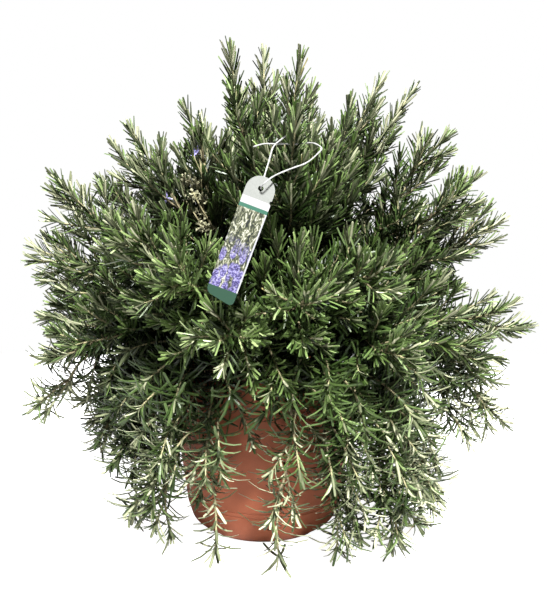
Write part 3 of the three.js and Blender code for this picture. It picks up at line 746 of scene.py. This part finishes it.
# ---- Pot and soil ----
def lathed(name, profile, segments):
    """A closed mesh turned about the pot's axis. The profile starts and ends on the axis."""
    ring = profile[1:-1]
    turns = turns_of(segments)
    verts = [np.stack([r * np.cos(turns), r * np.sin(turns), np.full(segments, z)], axis=1) for r, z in ring]
    verts = np.vstack(verts + [[[0, 0, profile[0][1]], [0, 0, profile[-1][1]]]])
    mesh = bpy.data.meshes.new(name)
    mesh.from_pydata((verts * MM).tolist(), [], ring_faces(len(ring), segments))
    mesh.update()
    return mesh


def groove(radius_at, z, depth, width=0.7):
    return [(radius_at(z - width), z - width), (radius_at(z) - depth, z), (radius_at(z + width), z + width)]


def pot_profile():
    """The pot's section as (radius, height), from under its floor round the outside to the inside."""
    height, rim, wall = POT.height, POT.rim, POT.wall
    base, body, foot, lift = POT.base, POT.body, POT.foot, POT.lift
    floor_top = lift + POT.floor
    band_top, band_face, shoulder = height - 12, rim - 0.6, BAND_FOOT - 0.8

    def foot_radius(z):
        return base + (body - base) * np.interp(z, [0, foot * 0.3, foot], [0, 0.6, 1.0])

    def inner(z):
        return wall_radius(z) - wall

    return [(0, 0), (POT.boss, 0), (POT.boss + 1.5, lift), (base - 6, lift), (base - 4.5, 0),
            *rounded((base, 0), (base - 4.5, 0), (foot_radius(7), 7), 1.2),
            *groove(foot_radius, 7.5, 0.35), (foot_radius(14), 14), (body, foot),
            *(point for z in POT.grooves for point in groove(wall_radius, z, 0.7)),
            (wall_radius(100), 100), (wall_radius(shoulder), shoulder),
            *rounded((rim - 1, BAND_FOOT + 0.4), (wall_radius(BAND_FOOT), BAND_FOOT),
                     (rim - 0.8, band_top), 1.2),
            (band_face, band_top),
            *rounded((rim, height), (rim - 0.3, band_top), (rim - 5, height), 1.6),
            *rounded((rim - 5, height), (rim, height), (rim - 5.6, height - 8), 1.2),
            (inner(BAND_FOOT - 4), BAND_FOOT - 4), (body - wall, foot),
            (base - 7, floor_top), (0, floor_top)]


def pot_cutter():
    """The drain holes and the notches in the foot, as one shape."""
    shape = bmesh.new()
    depth = POT.lift + POT.floor + 8
    hole = POT.hole * MM
    for i in range(POT.holes):
        place = Vector(polar(math.radians(POT.hole_turn + i * 360 / POT.holes), 0) * POT.circle * MM)
        bmesh.ops.create_cone(shape, cap_ends=True, segments=24, radius1=hole, radius2=hole,
                              depth=2 * depth * MM, matrix=Matrix.Translation(place))
    size = Vector((40, POT.notch_width, 2 * POT.notch_height)) * MM
    for i in range(POT.notches):
        turn = Matrix.Rotation(math.radians(POT.notch_turn + i * 90), 4, "Z")
        place = Matrix.Translation((POT.base * MM, 0, 0))
        bmesh.ops.create_cube(shape, size=1, matrix=turn @ place @ Matrix.Diagonal((*size, 1)))
    mesh = bpy.data.meshes.new("pot_cutter")
    shape.to_mesh(mesh)
    shape.free()
    return finished("pot_cutter", mesh, [])


def pot_piece():
    piece = finished("pot_body", lathed("pot_body", pot_profile(), 144), [pot_material()])
    cutter = pot_cutter()
    cut = piece.modifiers.new("cut", "BOOLEAN")
    cut.operation = "DIFFERENCE"
    cut.solver = "EXACT"
    cut.object = cutter
    mesh = bpy.data.meshes.new_from_object(piece.evaluated_get(bpy.context.evaluated_depsgraph_get()))
    piece.modifiers.clear()
    piece.data = mesh
    bpy.data.objects.remove(cutter)
    mesh.shade_smooth()
    mesh.set_sharp_from_angle(angle=math.radians(32))
    settle(piece, "pot_plastic", "pot")


def mound_height(radius):
    return SOIL.top + SOIL.mound * np.maximum(1 - radius / SOIL.edge, 0) ** 0.7


def soil_mound(material):
    rings, edge = 36, SOIL.edge
    floor_top = POT.lift + POT.floor + 0.3
    profile = [(0, floor_top), (75, floor_top), (POT.body - POT.wall - 1.4, POT.foot + 1)]
    profile += [(edge * (1 - i / rings), mound_height(edge * (1 - i / rings))) for i in range(rings)]
    mesh = lathed("soil_mound", profile + [(0, mound_height(0))], 96)
    for vertex in mesh.vertices:
        if vertex.co.z > (SOIL.top - 1) * MM:
            place = vertex.co / MM
            inward = min(1, (edge + 1 - math.hypot(place.x, place.y)) / 6)
            vertex.co.z += (lumps(place / 9) * 1.8 + lumps(place / 3.1) * 1.1) * inward * MM
    mesh.shade_smooth()
    settle(finished("soil_mound", mesh, [material]), "soil", "soil")


def soil_crumbs(material):
    """Loose crumbs on the mound, each an uneven octahedron."""
    rng = np.random.default_rng(31)
    builder = Builder()
    octahedron = np.vstack([np.eye(3), -np.eye(3)])
    faces = [[a, b, c][::1 if (a + b + c) % 2 else -1] for a in (0, 3) for b in (1, 4) for c in (2, 5)]
    for _ in range(SOIL.crumbs):
        radius, azimuth = (SOIL.edge - 5) * math.sqrt(rng.uniform(0.03, 1)), rng.uniform(0, CIRCLE)
        place = polar(azimuth, 0) * radius + UP * (mound_height(radius) + rng.uniform(-0.8, 1.4))
        turn = np.array(Euler(rng.uniform(0, 6, 3)).to_matrix())
        corners = octahedron * rng.uniform(0.7, 2.3) * rng.uniform(0.5, 1.2, (6, 1))
        builder.add(corners @ turn.T + place, faces, 0, [False] * 8, np.ones((6, 4)), [])
    settle(builder.piece("soil_crumbs", [material], mapped=False), "soil", "soil")


# ---- Wood ----
def wavy(line, radii, rng, share=0.06):
    """Radii from the first to the last along a line, with gentle swellings."""
    return np.linspace(*radii, len(line)) * (1 + rng.normal(0, share, len(line)))


def map_strips(count, low=0.0):
    """Places for tubes side by side at the top of a texture map."""
    return iter([((i + 0.1) / count, low, 0.8 / count, 1 - low) for i in range(count)])


def wood_piece():
    rng = np.random.default_rng(77)
    builder = Builder()
    rings, sides = 12, 14
    heights = np.linspace(TRUNK.foot, CROWN_Z + 6, rings)
    trunk = np.stack([np.sin(heights / 11) * 0.8, np.cos(heights / 13) * 0.8, heights], axis=1)
    thickness = np.interp(heights, [TRUNK.foot, 180, CROWN_Z - 8, CROWN_Z, CROWN_Z + 6],
                          [TRUNK.radius * 1.22, TRUNK.radius, TRUNK.knot, TRUNK.knot * 0.95, 6])
    ridges = 1 + 0.09 * np.sin(np.arange(sides) * 2.7)[None] + rng.normal(0, 0.03, (rings, sides))
    limbs = [limb for kind in KINDS for limb in LIMBS[kind]]
    strips = map_strips(1 + len(limbs) + len(BRANCHES))
    builder.tube(trunk, thickness[:, None] * ridges, sides, 0, next(strips))
    for limb in limbs:
        line = resampled(bezier(limb.control, np.linspace(0, 1, 20)), 6)
        builder.tube(line, wavy(line, LIMB_RADII, rng), 8, 0, next(strips))
    for branch in BRANCHES:
        line = resampled(bezier(branch.control, np.linspace(0, branch.wood + 0.01, 20)), 5)
        builder.tube(line, wavy(line, WOOD_RADII, rng), 7, 0, next(strips))
    settle(builder.piece("woody_stems", [bark_material()], smooth=(0,)), "bark", "woody_framework")


# ---- Leafy branches ----
# The middle and half sizes of the bush, round which leaves get painted shade
BUSH_MIDDLE, BUSH_HALF = UP * 235, np.array([290, 240, 330])
LEAFLESS_MIDDLE = UP * 240  # round it most leaves have dropped
SHOOTS_FROM = UP * 225  # side shoots point away from here
TIP_LENGTH = 40  # the stretch at a stem's tip where leaves are younger and stand steeper
BUNCH_PLACES = [1.5, 0.8, 0.2]  # how far before the tip its bunch of three pairs grows
BUNCH_ANGLES = [19, 21, 13, 16, 6, 9]


def grown_shoot(root, direction, length, bend, rng):
    """A shoot that grows from its root and bends up or down as it goes."""
    step = 6.0
    points, way = [root], direction.copy()
    for _ in range(max(3, int(length / step))):
        way = unit(way + UP * bend * step / 100 + rng.normal(0, 0.035, 3))
        place = points[-1] + way * step
        cleared = pushed_clear(place[None], 4.0)[0]
        if np.linalg.norm(cleared - place) > 0.5:
            way = unit(cleared - points[-1])
            place = cleared
        points.append(place)
    return np.array(points)


def shoots_of(branch, rng):
    """The side shoots of one branch, mostly away from the middle of the bush and of the pot."""
    style = branch.style
    line = stem_points(branch, np.linspace(0, 1, 90))
    lengths = lengths_along(line)
    tangents = tangents_of(line)
    across, over = stem_frame(tangents, branch.side)
    tip = line[-1]
    before_pot = tip[2] < 50 and tip[1] < -100 and 60 < abs(tip[0]) < 110
    shoots = []
    roll = rng.uniform(0, CIRCLE)
    for i in range(style.shoots):
        share = (i + rng.uniform(0.1, 0.9)) / style.shoots
        k = int(np.interp(share, [0, 1], style.span) * 89)
        outward = unit(line[k] - SHOOTS_FROM)
        for _ in range(6):
            roll += GOLDEN
            aside = across[k] * math.cos(roll) + over[k] * math.sin(roll)
            if aside @ outward > -0.15 and not (before_pot and aside[0] * tip[0] < -0.1 * abs(tip[0])):
                break
        angle = math.radians(np.interp(share, [0, 1], style.shoot_angle) + rng.normal(0, 6))
        direction = tangents[k] * math.cos(angle) + aside * math.sin(angle)
        length = np.interp(share, [0, 1], [style.longest, style.shortest]) * rng.uniform(0.7, 1.12)
        length = min(length, style.reach * (lengths[-1] - lengths[k]))
        shoots.append(grown_shoot(line[k], direction, length, style.bend, rng))
    return shoots


def leaves_along(points, style, start, fresh, rng):
    """Opposite pairs of leaves, each turned a quarter from the last, and a bunch at the tip."""
    length = lengths_along(points)[-1]
    count = max(2, int((length - start) / style.pair))
    places = start + (length - start) * (np.arange(count) + 0.5) / count
    places = np.repeat(np.concatenate([places, [length - back for back in BUNCH_PLACES]]), 2)
    places = places + rng.normal(0, 0.5, len(places))
    n = len(places)
    root = at_lengths(points, points, places)
    tangent = unit(at_lengths(points, tangents_of(points), places))
    across, over = stem_frame(tangent, unit(np.cross(tangent[0], UP + np.array([0.13, 0.07, 0]))))
    pair = np.arange(n) // 2
    roll = pair * (math.pi / 2 + 0.12) + (np.arange(n) % 2) * math.pi + rng.normal(0, 0.22, n)
    near_tip = np.clip((places - (length - TIP_LENGTH)) / TIP_LENGTH, 0, 1)
    angle = style.base + (style.tip - style.base) * near_tip + rng.normal(0, 8, n)
    angle[-6:] = BUNCH_ANGLES
    angle = np.radians(angle)
    aside = across * np.cos(roll)[:, None] + over * np.sin(roll)[:, None]
    direction = tangent * np.cos(angle)[:, None] + aside * np.sin(angle)[:, None]
    size = style.leaf * (1 - 0.12 * near_tip ** 3) * rng.uniform(0.74, 1.1, n)
    return dict(root=root, direction=direction, tangent=tangent, length=size, young=near_tip ** 1.5 + fresh)


def chosen(leaves, mask):
    return {key: value[mask] for key, value in leaves.items()}


def not_bare(points, rng):
    """Leaves deep inside the bush are fewer."""
    depth = np.linalg.norm((points - LEAFLESS_MIDDLE) / np.array([1.15, 1.0, 1.0]), axis=1)
    return rng.uniform(0, 1, len(points)) < np.clip((depth - 40) / 70, 0.3, 1)


def painted_shade_exposure(points):
    """From 0 deep inside the bush to 1 at its outside, as on the stems that hang before the pot. Leaves take
    it as painted shade, which darkens their colour deep inside the bush.
    """
    depth = np.linalg.norm((points - BUSH_MIDDLE) / BUSH_HALF, axis=1)
    before = np.clip((-points[:, 1] - 90) / 40, 0, 1) * np.clip((215 - points[:, 2]) / 60, 0, 1)
    return np.maximum(np.clip((depth - 0.45) / 0.45, 0, 1), 0.95 * before)


def leafy_stems(builder, branch, rng):
    """Adds a branch's stem and side shoots, and gives all their leaves."""
    style = branch.style
    stem = stem_points(branch, np.linspace(branch.wood, 1 - style.trim / BRANCH_LENGTH, 50))
    stem = resampled(np.vstack([stem, stem[-1] + tangents_of(stem)[-1] * style.beyond]), 5)
    stem = pushed_clear(stem, STEM_RADIUS)
    shoots = shoots_of(branch, rng)
    strips = map_strips(1 + len(shoots), TUBES_FROM)
    builder.tube(stem, wavy(stem, STEM_RADII, rng, 0.04), 6, 1, next(strips))
    groups = [leaves_along(stem, style, 3, style.fresh, rng)]
    for shoot in shoots:
        builder.tube(shoot, wavy(shoot, SHOOT_RADII, rng, 0.04), 5, 1, next(strips))
        fresh = style.fresh + 0.6 * rng.uniform(0, 1) ** 4
        groups.append(leaves_along(shoot, style, 8, fresh, rng))
    leaves = {key: np.concatenate([group[key] for group in groups]) for key in groups[0]}
    return chosen(leaves, not_bare(leaves["root"], rng))


def placed_blades(leaves, style, rng):
    """The blades of a branch's leaves, without those that would hide the tag, the string or the flowers."""
    n = len(leaves["root"])
    verts = blade_vertices(
        leaves["root"], leaves["direction"], leaves["tangent"], leaves["length"],
        style.width * rng.uniform(0.72, 1.0, n), rng.normal(0, 0.35, n),
        style.reflex * rng.normal(1, 0.7, n), style.lift * rng.normal(1, 0.7, n))
    sampled = verts[:, BLADE_SAMPLES].reshape(-1, 3)
    hiding = before_tag(sampled) | before_places(sampled, shown_string, *STRING_CLEAR)
    hiding |= before_places(sampled, shown_flowers, *FLOWERS_CLEAR)
    shown = ~hiding.reshape(n, -1).any(axis=1)
    verts = verts[shown]
    return pushed_clear(verts.reshape(-1, 3), 0.6).reshape(verts.shape), chosen(leaves, shown)


def leafy_piece(index, branch):
    rng = np.random.default_rng(500 + index)
    style, builder = branch.style, Builder()
    verts, leaves = placed_blades(leafy_stems(builder, branch, rng), style, rng)
    n = len(verts)
    young = np.clip(leaves["young"] * rng.uniform(0.1, 1.0, n) + rng.normal(0, 0.05, n), 0, 1)
    tone = style.pale + (1 - style.pale) * rng.uniform(0, 1, n) ** 1.35
    # Each leaf's own random tone, darkened by painted shade deep inside the bush
    builder.blades(verts, tone * (0.08 + 0.92 * painted_shade_exposure(leaves["root"])), young * style.youth)
    piece = builder.piece(f"rosemary_{branch.name}", [leaf, stem_finish], smooth=(1,))
    settle(piece, "leaf", f"leafy_stem_{branch.name}")


# ---- Flowers ----
def place_on(branch, share):
    """A point on a branch's leafy part, the stem's direction there, and the way out from the pot's axis."""
    t = branch.wood + (1 - branch.wood) * share
    line = bezier(branch.control, np.array([t - 0.005, t, t + 0.005]))
    tangent = unit(line[2] - line[0])
    outward = stem_frame(tangent[None], branch.side)[1][0]
    return line[1], tangent, outward


def ring_of_blades(builder, centre, axis, count, length, width, flare, rng, material, tone, reflex=0.1):
    """A ring of small blades that open from an axis, as the lobes of a flower or of its cup do."""
    across, over = square_to(axis)
    turns = turns_of(count) + rng.uniform(0, 1)
    aside = across * np.cos(turns)[:, None] + over * np.sin(turns)[:, None]
    direction = axis * math.cos(math.radians(flare)) + aside * math.sin(math.radians(flare))
    ones = np.ones(count)
    verts = blade_vertices(np.tile(centre, (count, 1)), direction, np.tile(axis, (count, 1)),
                           length * rng.uniform(0.85, 1.1, count), width * ones, rng.normal(0, 0.2, count),
                           reflex * ones, 0 * ones, cup=0.5)
    builder.blades(verts, np.clip(tone + rng.normal(0, 0.2, count), 0, 1), 0 * ones, material)


def blossom_piece(number, branch, share):
    """Two small flowers, each with a green cup, a short tube and open lobes."""
    rng = np.random.default_rng(900 + number)
    builder = Builder()
    point, tangent, outward = place_on(branch, share)
    for turn in (-0.45, 0.5):
        side = branch.side * turn
        way = unit(tangent * 0.64 + outward * 0.77 + side)
        start = point + (outward + side * 0.6) * STEM_RADIUS * 0.8
        line = np.array([start + way * s for s in (0, 2, 4, 6, 8)])
        builder.tube(line, np.array([0.6, 0.9, 1.5, 1.3, 1.7]), 8, 0, tone=0.2)
        ring_of_blades(builder, line[1], way, 5, 5.0, 2.2, 22, rng, 1, 0.5)
        ring_of_blades(builder, line[3], way, 5, 8.0, 4.2, 52, rng, 0, 0.5, reflex=0.25)
        ring_of_blades(builder, line[4], way, 2, 7.0, 0.8, 14, rng, 0, 0.1)
    piece = builder.piece(f"blossom_pair_{number}", [petal_material(), leaf], mapped=False)
    settle(piece, "petal", f"blossom_{number}")


def spent_spikes(branch):
    """Where each spike of dry flowers starts, and its way."""
    spikes = []
    for share, turn in zip(np.linspace(SPENT.low, SPENT.high, len(SPENT.turns)), SPENT.turns):
        point, tangent, outward = place_on(branch, share)
        spikes.append((point, unit(tangent * 0.7 + outward * 1.2 + branch.side * turn)))
    return spikes


def spent_piece(branch):
    """Dry flower cups in whorls, on short spikes beside the branch."""
    rng = np.random.default_rng(41)
    builder = Builder()
    whorls, cups = 4, 5
    for point, way in spent_spikes(branch):
        spine = np.array([point + way * s for s in (0, 10, 20, 30)])
        builder.tube(spine, np.array([0.9, 0.8, 0.7, 0.6]), 6, 0, tone=0.15)
        across, over = square_to(way)
        for whorl in range(whorls):
            for k in range(cups):
                roll = k * 2 * math.pi / cups + whorl * 0.6 + rng.normal(0, 0.2)
                aside = across * math.cos(roll) + over * math.sin(roll)
                out = unit(way * 0.8 + aside)
                start = point + way * (10 + 6.5 * whorl)
                line = np.array([start + out * s for s in (0, 2, 4, 5)])
                builder.tube(line, np.array([0.4, 0.5, 0.9, 1.4]), 6, 0, tone=0.6)
                ring_of_blades(builder, line[2], out, 3, 5.0, 2.6, 20, rng, 0, 1.0, reflex=0.2)
    piece = builder.piece("spent_flower_cups", [spent_material()], mapped=False)
    settle(piece, "spent_flower", "spent_flowers")


# ---- Camera, light and floor ----
def aimed(data, place, target):
    thing = in_scene(data.name, data)
    thing.location = np.asarray(place, float) * MM
    way = Vector(target) - Vector(place)
    thing.rotation_euler = way.to_track_quat("-Z", "Y").to_euler()
    return thing


def add_camera():
    data = bpy.data.cameras.new("camera")
    data.lens, data.sensor_width = 36, 36
    down = math.radians(CAMERA_PITCH)
    ahead = np.array([0, math.cos(down), -math.sin(down)])
    bpy.context.scene.camera = aimed(data, CAMERA, CAMERA + ahead * 100)


def add_light():
    """Two lights and a white world, which lights things weakly and which the camera sees as plain white."""
    world = bpy.data.worlds.new("world")
    bpy.context.scene.world = world
    s = Nodes(world)
    strength = s.maths("MULTIPLY_ADD", s.camera_ray(), 1 - FILL, FILL)
    s.feed(s.nodes["Background"], {"Color": (1, 1, 1), "Strength": strength})
    for light in (KEY_LIGHT, RIM_LIGHT):
        data = bpy.data.lights.new(light.name, "AREA")
        data.size, data.energy = light.size * MM, light.power
        aimed(data, light.place, (0, 0, 250))
    bpy.context.scene.view_settings.view_transform = "Standard"


def add_floor():
    """A grey floor that the camera sees as plain white, without shadows, as in the photograph."""
    segments = 96
    turns = turns_of(segments)
    edge = np.stack([np.cos(turns), np.sin(turns), 0 * turns], axis=1) * FLOOR_RADIUS * MM
    mesh = bpy.data.meshes.new("floor")
    mesh.from_pydata(edge.tolist(), [], [list(range(segments))])
    s = Surface("floor", 0.9, 0.1)
    s.feed(s.shader, {"Emission Color": (1, 1, 1), "Emission Strength": s.camera_ray()})
    finished("floor", mesh, [s.colour((FLOOR_GREY,) * 3)])


add_camera()
string_line = catmull_rom(STRING_ROUTE)
string_piece(string_line)
tag_piece()
add_light()
add_floor()
pot_piece()
soil = soil_material()
soil_mound(soil)
soil_crumbs(soil)
wood_piece()
leaf = leaf_material()
stem_finish = stem_material()
shown_string = np.vstack([string_line[int(8 * low):int(8 * high):3] for low, high in STRING_IN_SIGHT])
shown_flowers = [place_on(BRANCHES[index], share)[0] for index, share in BLOSSOMS]
spent_branch = BRANCHES[SPENT.branch]
shown_flowers += [point + way * SPENT.middle for point, way in spent_spikes(spent_branch)]
for index, branch in enumerate(BRANCHES):
    leafy_piece(index, branch)
for number, (index, share) in enumerate(BLOSSOMS, 1):
    blossom_piece(number, BRANCHES[index], share)
spent_piece(spent_branch)
